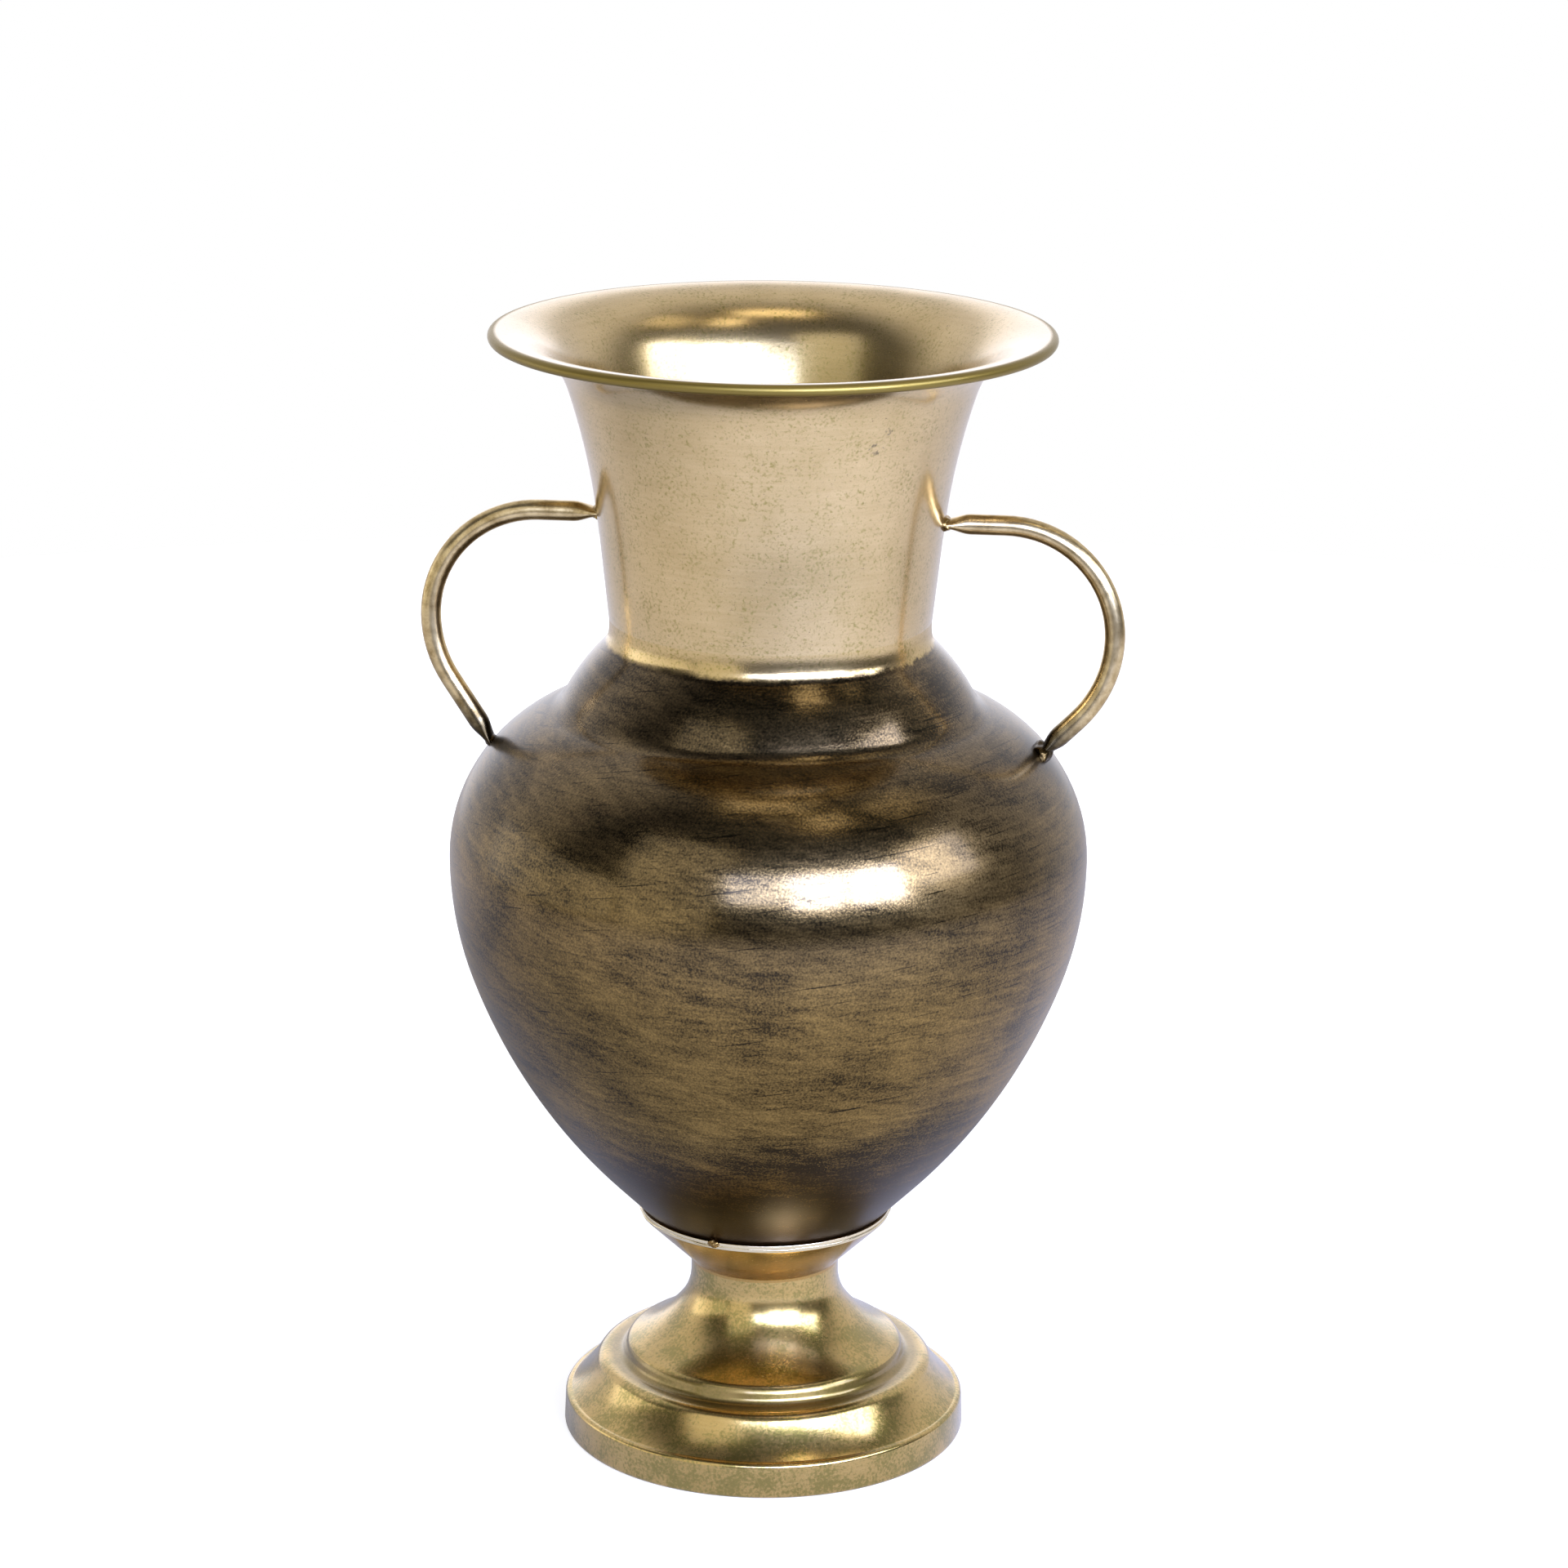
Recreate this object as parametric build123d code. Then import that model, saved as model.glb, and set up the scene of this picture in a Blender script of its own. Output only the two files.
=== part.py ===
from build123d import *
import os
from math import cos, radians, sin, sqrt, tan

# Urn vase, spun from sheet metal and welded. Millimetres, +Z up, origin under the foot on its axis.
# A lean is an angle from the vertical in degrees, positive where a profile widens on its way up.

# Sheet and fits
sheet = 0.9
lap_clearance = 0.1
lap_length = 8.0
bend = 1.4

# Foot: a turned-in rest, a band, a cove, a ledge, a riser and the trumpet of the stem
foot_radius = 61.3
rest_width = 8.0
band_top_radius = 60.8
band_height = 10.9
cove_bottom_radius = 59.0
cove_top_radius = 50.0
cove_height = 11.5
cove_sag = 0.5
riser_radius = 43.0
riser_draft = 1.0
riser_height = 4.6
crease = 0.6
waist_radius = 22.4
trumpet_edge_lean = -68.0
trumpet_middle_lean = -37.0
stem_straight = 3.5
foot_height = 53.2

# Collar cup: a short stub on the stem, a cone and a turned lip
cup_height = 18.0
stub_height = 1.0
lip_height = 2.2
lip_lean = 6.0
lip_gap = 0.2

# Belly: a closed bowl with a straight lower cone
belly_radius = 94.9
belly_height = 110.8
belly_seat_radius = 36.9
belly_cone_lean = 45.0
belly_cone_height = 10.8
belly_middle_lean = 20.0
belly_floor_rise = 7.0
floor_bend = 4.0

# Shoulder
shoulder_round = 48.0
groove_radius = 62.5
groove_round = 4.5
bulge_round = 64.5
shoulder_height = 65.8
neck_radius = 47.6
neck_round = 5.0
collar_height = 7.0

# Neck and rim
neck_lean = 6.3
neck_straight = 25.0
neck_height = 92.2
flare_middle_lean = 18.8
rim_radius = 82.6
rim_curl = 0.7
rim_curl_turn = 270.0

# Handles
tube = 6.0
tube_wall = 0.8
pinch_thickness = 2.6
pinch_width = 8.0
pinch_length = 7.5
handle_overhang = 6.4
handle_rise = 36.6
handle_bend = 32.6
handle_lower_bend = 36.0
left_foot_lean = 33.0
right_foot_lean = 45.0

# Welds
upper_bead = 2.4
lower_bead = 3.2
bead_overhang = 1.0
tack_radius = 1.7
tack_count = 3
tack_turn = -107.4

# Levels that the pieces stack up to
lip_level = foot_height + cup_height
equator = lip_level + belly_height
neck_level = equator + shoulder_height
rim_level = neck_level + neck_height
neck_seam = neck_level + collar_height

# The handles' centre lines stand out past the belly
handle_reach = belly_radius + handle_overhang


def step(start, lean, length):
    """The point a length further on along a lean."""
    return (start[0] + length * sin(radians(lean)), start[1] + length * cos(radians(lean)))


def swing(start, lean_from, lean_to, radius):
    """The point reached from start by an arc that turns from one lean to another."""
    rise = sin(radians(lean_to)) - sin(radians(lean_from))
    spread = cos(radians(lean_from)) - cos(radians(lean_to))
    return (start[0] + radius * spread, start[1] + radius * rise)


def turn(start, lean_from, lean_to, radius):
    """Arc from start that turns from one lean to another."""
    halfway = swing(start, lean_from, (lean_from + lean_to) / 2, radius)
    return ThreePointArc(start, halfway, swing(start, lean_from, lean_to, radius))


def two_turns(start, lean_from, end, lean_to, lean_between):
    """Two arcs in one smooth sweep from start to end, which meet where the profile leans lean_between."""
    first = swing((0, 0), lean_from, lean_between, 1)
    second = swing((0, 0), lean_between, lean_to, 1)
    across = end[0] - start[0]
    up = end[1] - start[1]
    spread = first[0] * second[1] - second[0] * first[1]
    first_radius = (across * second[1] - second[0] * up) / spread
    second_radius = (first[0] * up - across * first[1]) / spread
    middle = swing(start, lean_from, lean_between, first_radius)
    return [
        turn(start, lean_from, lean_between, first_radius),
        turn(middle, lean_between, lean_to, second_radius),
    ]


def rounded(path, corner, radius):
    """The path with one of its corners rounded."""
    vertex = path.vertices().sort_by_distance((corner[0], corner[1], 0))[0]
    return path.fillet_2d(radius, [vertex])


def inner_face(edge):
    """The inner face's line or arc, one sheet to the left of an outer one."""
    points = []
    for place in (0, 0.5, 1):
        ahead = edge % place
        points.append(edge @ place + Vector(-ahead.Y, ahead.X) * sheet)
    return Line(points[0], points[2]) if edge.geom_type == GeomType.LINE else ThreePointArc(*points)


def spun(path):
    """Sheet spun to a smooth outer path that runs upwards: thickened towards the axis and turned about Z."""
    outer = path.order_edges()
    inner = [inner_face(edge) for edge in outer]
    ends = [Line(outer[-1] @ 1, inner[-1] @ 1), Line(inner[0] @ 0, outer[0] @ 0)]
    return ring(Wire([*outer, *inner, *ends]))


def ring(outline):
    """A closed outline turned about Z."""
    return revolve(Plane.XZ * Face(outline), Axis.Z)


def solid_of(path):
    """The full body inside an outer path, for trimming what lies on it."""
    start = path @ 0
    end = path @ 1
    closing = Polyline((end.X, end.Y), (0, end.Y), (0, start.Y), (start.X, start.Y))
    return ring(Wire([*path.edges(), *closing.edges()]))


def foot_path():
    rest = (foot_radius - rest_width, 0)
    heel = (foot_radius, 0)
    lip = (band_top_radius, band_height)
    cove_bottom = (cove_bottom_radius, band_height)
    cove_top = (cove_top_radius, band_height + cove_height)
    cove_middle = (
        (cove_bottom_radius + cove_top_radius) / 2 - cove_sag,
        band_height + cove_height / 2 - cove_sag,
    )
    riser_bottom = (riser_radius, cove_top[1])
    riser_top = (riser_radius - riser_draft, cove_top[1] + riser_height)
    waist = (waist_radius, foot_height - stem_straight)
    trumpet = two_turns(riser_top, trumpet_edge_lean, waist, 0, trumpet_middle_lean)
    path = Wire([
        Line(rest, heel),
        Line(heel, lip),
        Line(lip, cove_bottom),
        ThreePointArc(cove_bottom, cove_middle, cove_top),
        Line(cove_top, riser_bottom),
        Line(riser_bottom, riser_top),
        *trumpet,
        Line(waist, (waist_radius, foot_height)),
    ])
    for corner in (heel, lip, cove_top, riser_top):
        path = rounded(path, corner, bend)
    for corner in (cove_bottom, riser_bottom):
        path = rounded(path, corner, crease)
    return path


def belly_cone(level):
    """Outer radius of the belly's lower cone at a level."""
    return belly_seat_radius + (level - lip_level) * tan(radians(belly_cone_lean))


def cup_path():
    lip_radius = belly_seat_radius + lip_gap + sheet / cos(radians(lip_lean))
    lip_bottom = (lip_radius - lip_height * tan(radians(lip_lean)), lip_level - lip_height)
    stub_top = (waist_radius, foot_height + stub_height)
    path = Wire([
        Line((waist_radius, foot_height), stub_top),
        Line(stub_top, lip_bottom),
        Line(lip_bottom, (lip_radius, lip_level)),
    ])
    path = rounded(path, stub_top, crease)
    return rounded(path, lip_bottom, bend)


def belly_path():
    floor_level = foot_height + belly_floor_rise
    floor_edge = (belly_cone(floor_level), floor_level)
    cone_top = (belly_cone(lip_level + belly_cone_height), lip_level + belly_cone_height)
    seam = (belly_radius, equator)
    path = Wire([
        Line((0, floor_level), floor_edge),
        Line(floor_edge, cone_top),
        *two_turns(cone_top, belly_cone_lean, seam, 0, belly_middle_lean),
    ])
    return rounded(path, floor_edge, floor_bend)


def spigot(seam_radius, seam, direction, tip_inset=0):
    """Stepped-in sleeve at the end of a shell that slips into its neighbour; direction is +1 upwards."""
    outside = seam_radius - sheet - lap_clearance
    root = seam_radius - sheet / 2
    tip = seam + direction * lap_length
    back = seam - direction * 2 * sheet
    return ring(Wire(Polyline(
        (outside - tip_inset - sheet, tip),
        (outside - tip_inset, tip),
        (outside, seam),
        (root, seam),
        (root, back),
        (outside - sheet, back),
        (outside - sheet, seam),
        close=True,
    ).edges()))


def shoulder_path():
    centre = belly_radius - shoulder_round
    groove = (groove_radius, equator + sqrt(shoulder_round**2 - (groove_radius - centre) ** 2))
    bulge_top = (neck_radius, neck_level)
    diagonal = shoulder_round / sqrt(2)
    path = Wire([
        ThreePointArc((belly_radius, equator), (centre + diagonal, equator + diagonal), groove),
        RadiusArc(groove, bulge_top, bulge_round),
        Line(bulge_top, (neck_radius, neck_seam)),
    ])
    path = rounded(path, groove, groove_round)
    return rounded(path, bulge_top, neck_round)


def neck_wall():
    """The neck's outside from its seam to the rim: a straight taper and the flare."""
    seam = (neck_radius, neck_seam)
    flare_bottom = step(seam, neck_lean, neck_straight)
    rim = (rim_radius - rim_curl - sheet, rim_level - sheet)
    return [
        Line(seam, flare_bottom),
        *two_turns(flare_bottom, neck_lean, rim, 90, flare_middle_lean),
    ]


def neck_path():
    wall = neck_wall()
    rim = wall[-1] @ 1
    return Wire([*wall, turn((rim.X, rim.Y), 90, 90 + rim_curl_turn, rim_curl)])


def neck_outside(level):
    """Outer radius of the neck's taper at a level."""
    return neck_radius + (level - neck_seam) * tan(radians(neck_lean))


def joint_frame(point, lean):
    """Plane across a handle at a point of its route, with its X along the vase's Y."""
    ahead = step((0, 0), lean, 1)
    return Plane((point[0], 0, point[1]), x_dir=(0, 1, 0), z_dir=(ahead[0], 0, ahead[1]))


class HandleRoute:
    """Centre line of a handle on the +X side, from the neck round to the shoulder."""

    def __init__(self, foot_lean):
        self.heading = 180 + foot_lean
        top = neck_level + handle_rise
        self.upper_joint = (neck_outside(top), top)
        self.bend_start = (handle_reach - handle_bend, top)
        self.outermost = (handle_reach, top - handle_bend)
        self.foot_start = swing(self.outermost, 180, self.heading, handle_lower_bend)
        # The foot runs straight on until it meets the round of the shoulder
        across = self.foot_start[0] - (belly_radius - shoulder_round)
        above = self.foot_start[1] - equator
        ahead = step((0, 0), self.heading, 1)
        nearest = -(across * ahead[0] + above * ahead[1])
        foot_length = nearest - sqrt(nearest**2 - across**2 - above**2 + shoulder_round**2)
        self.lower_joint = step(self.foot_start, self.heading, foot_length)

    def bar(self, diameter, width, thickness):
        """A bar along the route: round between the pinches, flat at the ends, which run into the vase."""
        upper_end = step(self.upper_joint, -90, pinch_thickness)
        upper_pinch = step(self.upper_joint, 90, pinch_length)
        lower_end = step(self.lower_joint, self.heading, pinch_thickness)
        lower_pinch = step(self.lower_joint, self.heading, -pinch_length)
        route = Wire([
            Line(upper_pinch, self.bend_start),
            turn(self.bend_start, 90, 180, handle_bend),
            turn(self.outermost, 180, self.heading, handle_lower_bend),
            Line(self.foot_start, lower_pinch),
        ])
        flat = Ellipse(width / 2, thickness / 2)
        circle = Circle(diameter / 2)
        middle = sweep(joint_frame(upper_pinch, 90) * circle, Plane.XZ * route)
        upper = loft([joint_frame(upper_end, 90) * flat, joint_frame(upper_pinch, 90) * circle])
        lower_circle = joint_frame(lower_pinch, self.heading) * circle
        lower_flat = joint_frame(lower_end, self.heading) * flat
        return middle + upper + loft([lower_circle, lower_flat])


def tacks(cup):
    """Small weld drops at equal turns round the cup's lip, which hold it to the belly."""
    lip = cup_path() @ 1
    bowl_side = Wire(belly_path().order_edges()[1:])
    drop = Pos(lip.X, 0, lip.Y) * Sphere(tack_radius) - cup - solid_of(cup_path()) - solid_of(bowl_side)
    return [Rot(0, 0, tack_turn + 360 * place / tack_count) * drop for place in range(tack_count)]


def bead(point, lean, size, bar, body):
    """Weld bead round a handle's end: a flattened drop, cut by the handle and by the vase."""
    drop = scale(Sphere(1), by=(pinch_width / 2 + bead_overhang, size, size))
    return joint_frame(point, lean) * drop - bar - body


foot = spun(foot_path())
lip_plane = Plane.XY.offset(lip_level)
collar_cup = split(spun(cup_path()), lip_plane, Keep.BOTTOM) + spigot(waist_radius, foot_height, -1)
shoulder_inside = shoulder_round - sheet
shoulder_closing = shoulder_inside - sqrt(shoulder_inside**2 - lap_length**2)
belly = spun(belly_path()) + spigot(belly_radius, equator, 1, shoulder_closing)
shoulder = spun(shoulder_path())
neck = spun(neck_path()) + spigot(neck_radius, neck_seam, -1)
vase_body = solid_of(shoulder_path()) + solid_of(Wire(neck_wall()))

nodes = {"foot": foot, "collar_cup": collar_cup, "belly": belly, "shoulder": shoulder, "neck": neck}
nodes["collar_tacks"] = Compound(children=tacks(collar_cup))
for side, foot_lean in (("left", left_foot_lean), ("right", right_foot_lean)):
    route = HandleRoute(foot_lean)
    bar = route.bar(tube, pinch_width, pinch_thickness)
    bore = route.bar(tube - 2 * tube_wall, pinch_width - 2 * tube_wall, pinch_thickness - 2 * tube_wall)
    pieces = {
        "handle_" + side: bar - bore - vase_body,
        "weld_" + side + "_upper": bead(route.upper_joint, 90, upper_bead, bar, vase_body),
        "weld_" + side + "_lower": bead(route.lower_joint, route.heading, lower_bead, bar, vase_body),
    }
    for name, piece in pieces.items():
        nodes[name] = piece if side == "right" else mirror(piece, about=Plane.YZ)

os.makedirs("parts", exist_ok=True)
for name, piece in nodes.items():
    export_step(piece, "parts/" + name + ".step")
    print(name, round(piece.volume), [round(size, 2) for size in piece.bounding_box().size])
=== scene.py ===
from math import cos, degrees, pi, radians, sin, sqrt, tan

import bmesh
import bpy
from mathutils import Matrix, Vector, noise


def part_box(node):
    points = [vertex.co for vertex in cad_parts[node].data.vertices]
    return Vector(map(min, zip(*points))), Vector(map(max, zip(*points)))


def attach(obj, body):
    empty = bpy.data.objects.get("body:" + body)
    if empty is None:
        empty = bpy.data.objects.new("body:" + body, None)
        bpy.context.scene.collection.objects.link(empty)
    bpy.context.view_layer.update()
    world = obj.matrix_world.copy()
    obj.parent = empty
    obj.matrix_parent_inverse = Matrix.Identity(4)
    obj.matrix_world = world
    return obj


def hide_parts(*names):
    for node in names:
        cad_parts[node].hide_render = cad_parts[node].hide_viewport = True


# %% [markdown]
# The frame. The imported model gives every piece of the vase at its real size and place, in metres. The
# shells, handles and welds below are drawn again as smooth meshes in millimetres, the unit of a metal
# spinner. The shells and handles take their main sizes from the boxes of the pieces that they stand for.

# %% Load the frame and measure its pieces
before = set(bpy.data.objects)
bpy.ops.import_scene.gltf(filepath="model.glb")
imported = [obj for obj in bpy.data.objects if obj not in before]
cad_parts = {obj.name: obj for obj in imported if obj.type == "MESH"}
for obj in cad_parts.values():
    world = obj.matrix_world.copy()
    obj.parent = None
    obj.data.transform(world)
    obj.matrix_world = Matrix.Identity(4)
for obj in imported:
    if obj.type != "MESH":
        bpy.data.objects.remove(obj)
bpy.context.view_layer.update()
MM = 0.001


def reach(node):
    """Largest radius along X, lowest level and highest level of a piece of the frame, in millimetres."""
    low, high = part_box(node)
    return max(high.x, -low.x) / MM, low.z / MM, high.z / MM


foot_radius, floor_level, foot_height = reach("foot")
lip_radius, _, lip_level = reach("collar_cup")
belly_radius, belly_floor, _ = reach("belly")
_, equator, neck_seam = reach("shoulder")
rim_radius, _, rim_level = reach("neck")
handle_outside, _, _ = reach("handle_right")
print("vase", round(rim_level, 1), "mm high")
print("rim radius", round(rim_radius, 1), "mm, belly radius", round(belly_radius, 1), "mm")

# %% [markdown]
# The camera stands where the photographer stood: a long lens about 1.4 m away, well above the rim and
# looking down, with the right handle turned a little towards it. It is set first, because every later
# step is judged through it.

# %% Camera
camera_distance = 1.3587
camera_height = 0.5955
camera_turn = radians(6.3)
camera_pitch = radians(16.1)
camera_roll = radians(0.52)
camera_yaw = radians(0.18)
frame_pixels = 1920
focal_pixels = 5828

camera_data = bpy.data.cameras.new("camera")
camera_data.sensor_width = 36
camera_data.lens = focal_pixels / frame_pixels * camera_data.sensor_width
camera = bpy.data.objects.new("camera", camera_data)
bpy.context.scene.collection.objects.link(camera)
camera.matrix_world = (
    Matrix.Rotation(camera_turn, 4, "Z")
    @ Matrix.Translation((0, -camera_distance, camera_height))
    @ Matrix.Rotation(pi / 2 - camera_pitch, 4, "X")
    @ Matrix.Rotation(-camera_yaw, 4, "Y")
    @ Matrix.Rotation(camera_roll, 4, "Z")
)
bpy.context.scene.camera = camera
print("camera lens", round(camera_data.lens, 1), "mm")

# %% [markdown]
# A spun shell starts as a profile: a chain of points and edges in the XZ plane. It could be a typed list
# of points, but runs and arcs are what a draughtsman draws, so each run extrudes the last point and each
# arc spins it about a centre. A lean is an angle from the vertical, positive where the profile widens on
# its way up: 0 is straight up, 90 is level outwards and 180 is straight down. Sharp corners are rounded
# afterwards with a vertex bevel.

# %% Profile tools
arc_step = radians(4)
arc_chord = 4.0
corner_segments = 5
inwards = -90


class Profile:
    """A chain of runs and arcs that starts at a radius and a level and heads along a lean in degrees."""

    def __init__(self, radius, level, lean=0):
        self.bm = bmesh.new()
        self.tip = self.bm.verts.new((radius, 0, level))
        self.lean = lean
        self.rounds = []

    def run_to(self, radius, level):
        across, up = radius - self.tip.co.x, level - self.tip.co.z
        self.tip = bmesh.ops.extrude_vert_indiv(self.bm, verts=[self.tip])["verts"][0]
        bmesh.ops.translate(self.bm, vec=(across, 0, up), verts=[self.tip])
        if across or up:
            self.lean = degrees(Vector((up, across)).angle_signed(Vector((1, 0)), 0))
        return self

    def run(self, length):
        ahead = radians(self.lean)
        return self.run_to(self.tip.co.x + length * sin(ahead), self.tip.co.z + length * cos(ahead))

    def turn(self, lean, radius):
        """Arc to a lean; the radius is negative where the lean falls."""
        start = radians(self.lean)
        angle = radians(lean) - start
        centre = self.tip.co + radius * Vector((cos(start), 0, -sin(start)))
        steps = max(2, round(abs(angle) / arc_step), round(abs(angle * radius) / arc_chord))
        spun = bmesh.ops.spin(
            self.bm, geom=[self.tip], cent=centre, axis=(0, 1, 0), angle=angle, steps=steps,
        )
        self.tip = next(item for item in spun["geom_last"] if isinstance(item, bmesh.types.BMVert))
        self.lean = lean
        return self

    def two_turns(self, between, lean, radius, level):
        """Two arcs in one smooth sweep to a point, which meet where the profile leans between."""
        start, middle, end = radians(self.lean), radians(between), radians(lean)
        first = (cos(start) - cos(middle), sin(middle) - sin(start))
        second = (cos(middle) - cos(end), sin(end) - sin(middle))
        across, up = radius - self.tip.co.x, level - self.tip.co.z
        spread = first[0] * second[1] - second[0] * first[1]
        self.turn(between, (across * second[1] - second[0] * up) / spread)
        return self.turn(lean, (first[0] * up - across * first[1]) / spread)

    def corner(self, lean, radius):
        """Heads along a new lean from here; the corner is rounded when the profile is finished."""
        self.rounds.append((self.tip, radius * tan(abs(radians(lean - self.lean)) / 2)))
        self.lean = lean
        return self

    def finished(self):
        for vertex, offset in self.rounds:
            bmesh.ops.bevel(
                self.bm, geom=[vertex], offset=offset, offset_type="OFFSET", affect="VERTICES",
                segments=corner_segments, profile=0.5, material=-1, clamp_overlap=True,
            )
        return self.bm


# %% [markdown]
# On the lathe, a disc of sheet is pressed over a former until it follows the profile. Here the profile is
# spun about the axis, its doubles are merged, its faces are turned outwards, and only then does it get the
# thickness of the sheet, on the inside. Every finished mesh goes through one function that makes it a
# smooth object, rides it on the vase and hides the frame's piece that it stands for.

# %% Shell tools
sheet = 0.9
spin_steps = 160
merge_distance = 0.001
crease_angle = radians(40)


def radially_outwards(bm):
    """True where the faces of a spun shell look away from the axis on the whole."""
    total = 0
    for face in bm.faces:
        away = Vector((*face.calc_center_median().xy, 0))
        total += face.calc_area() * face.normal.dot(away)
    return total > 0


def as_piece(bm, name, node):
    """Turns a bmesh in millimetres into a smooth object in metres that stands for a node of the vase."""
    for edge in bm.edges:
        edge.smooth = edge.is_manifold and edge.calc_face_angle() < crease_angle
    for face in bm.faces:
        face.smooth = True
    bmesh.ops.scale(bm, vec=(MM, MM, MM), verts=bm.verts)
    mesh = bpy.data.meshes.new(name)
    bm.to_mesh(mesh)
    bm.free()
    piece = bpy.data.objects.new(name, mesh)
    bpy.context.scene.collection.objects.link(piece)
    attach(piece, "root")
    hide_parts(node)
    print(name, len(mesh.vertices), "points")
    return piece


def spun_shell(profile, name):
    """Spins a profile about the vase's axis and gives it the thickness of the sheet, inwards."""
    bm = profile.finished()
    bmesh.ops.spin(
        bm, geom=bm.verts[:] + bm.edges[:], cent=(0, 0, 0), axis=(0, 0, 1), angle=2 * pi, steps=spin_steps,
        use_merge=True,
    )
    bmesh.ops.remove_doubles(bm, verts=bm.verts, dist=merge_distance)
    bmesh.ops.recalc_face_normals(bm, faces=bm.faces)
    if not radially_outwards(bm):
        bmesh.ops.reverse_faces(bm, faces=bm.faces)
    piece = as_piece(bm, name + "_shell", name)
    wall = piece.modifiers.new("sheet", "SOLIDIFY")
    wall.thickness = sheet * MM
    wall.offset = -1
    wall.use_even_offset = True
    return piece


# %% [markdown]
# The foot is a stepped pedestal: a rest turned in at the floor, a band, a cove, a ledge with a riser, and
# the trumpet of the stem. It could be stacked from separate rings, but the real foot is one spun sheet,
# so one profile draws all of it.

# %% Foot
rest_width = 8.0
band_height = 10.9
band_lean = -2.6
band_top_radius = 60.8
cove_bottom_radius = 59.0
cove_top_radius = 50.0
cove_height = 11.5
cove_lean = -38.0
cove_hollow = 11.0
riser_radius = 43.0
riser_height = 4.6
riser_lean = -12.3
riser_draft = 1.0
trumpet_edge_lean = -68.0
trumpet_middle_lean = -37.0
waist_radius = 22.4
stem_straight = 3.5
edge_round = 1.4
soft_round = 3.4
crease_round = 0.8
ledge_round = 2.4

ledge_level = band_height + cove_height
cove_chord = sqrt((cove_bottom_radius - cove_top_radius) ** 2 + cove_height**2)
cove_radius = cove_chord / (2 * sin(radians(cove_hollow)))
foot_profile = Profile(foot_radius - rest_width, floor_level)
foot_profile.run_to(foot_radius, floor_level).corner(band_lean, edge_round)
foot_profile.run_to(band_top_radius, band_height).corner(inwards, edge_round)
foot_profile.run_to(cove_bottom_radius, band_height).corner(cove_lean - cove_hollow, crease_round)
foot_profile.turn(cove_lean + cove_hollow, cove_radius).corner(inwards, soft_round)
foot_profile.run_to(riser_radius, ledge_level).corner(riser_lean, ledge_round)
foot_profile.run_to(riser_radius - riser_draft, ledge_level + riser_height)
foot_profile.corner(trumpet_edge_lean, soft_round)
foot_profile.two_turns(trumpet_middle_lean, 0, waist_radius, foot_height - stem_straight)
foot_profile.run(stem_straight)
foot = spun_shell(foot_profile, "foot")

# %% [markdown]
# The collar cup holds the belly. It is a plain cone with a short turned lip, whose face shows as a pale
# line. It could be one profile with the foot, but no former comes out of a stem that is narrower than
# both its ends, so the cup is a shell of its own. The lip was trimmed by hand after spinning, so its edge
# wanders by a fraction of a millimetre.

# %% Collar cup
stub_height = 1.0
cone_lean = 45.0
lip_height = 2.2
lip_lean = 6.0
lip_top_lean = -88.0
lip_cover = 0.95
lip_round = 0.25
lip_wave = 0.3
lip_wave_length = 6.0
lip_edge_depth = 0.01

lip_bottom = (lip_radius - lip_height * tan(radians(lip_lean)), lip_level - lip_height)
cup_profile = Profile(waist_radius, foot_height)
cup_profile.run(stub_height).corner(cone_lean, crease_round)
cup_profile.run_to(*lip_bottom).corner(lip_lean, crease_round)
cup_profile.run_to(lip_radius, lip_level).corner(lip_top_lean, lip_round)
cup_profile.run(lip_cover)
collar_cup = spun_shell(cup_profile, "collar_cup")

lip_edge = [vertex for vertex in collar_cup.data.vertices if vertex.co.z / MM > lip_level - lip_edge_depth]
for vertex in lip_edge:
    vertex.co.z -= lip_wave * MM * (0.5 + 0.5 * noise.noise(vertex.co / MM / lip_wave_length))
print("lip", len(lip_edge), "points filed by hand")

# %% [markdown]
# The body is two bowls that meet at the widest line. The belly is the lower one: a cone that sits in the
# cup and swells through two arcs. Its last fifth of a millimetre is upright, and so is the shoulder's
# first, so that the light runs over the seam without a line, as it does where the real seam is polished
# out.

# %% Belly
belly_seat_radius = 36.9
belly_cone_height = 10.8
belly_middle_lean = 20.0
floor_round = 4.0
seam_run = 0.2

floor_edge = belly_seat_radius - (lip_level - belly_floor)
belly_profile = Profile(0, belly_floor, 90)
belly_profile.run_to(floor_edge, belly_floor).corner(cone_lean, floor_round)
belly_profile.run_to(belly_seat_radius + belly_cone_height, lip_level + belly_cone_height)
belly_profile.two_turns(belly_middle_lean, 0, belly_radius, equator - seam_run).run(seam_run)
belly = spun_shell(belly_profile, "belly")

# %% [markdown]
# The shoulder is the upper bowl: one round, a groove, a bulge, and a short collar that sweeps into the
# neck. The groove could be cut into a smooth bowl afterwards. It is a tooled line where two rounds meet,
# so here the two arcs meet too, in a small fillet.

# %% Shoulder
shoulder_round = 48.0
groove_radius = 62.5
groove_round = 7.0
bulge_round = 64.5
bulge_end_lean = -45.0
collar_height = 7.0
collar_lean = -8.0
neck_radius = 47.6
neck_lean = 6.3

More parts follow.
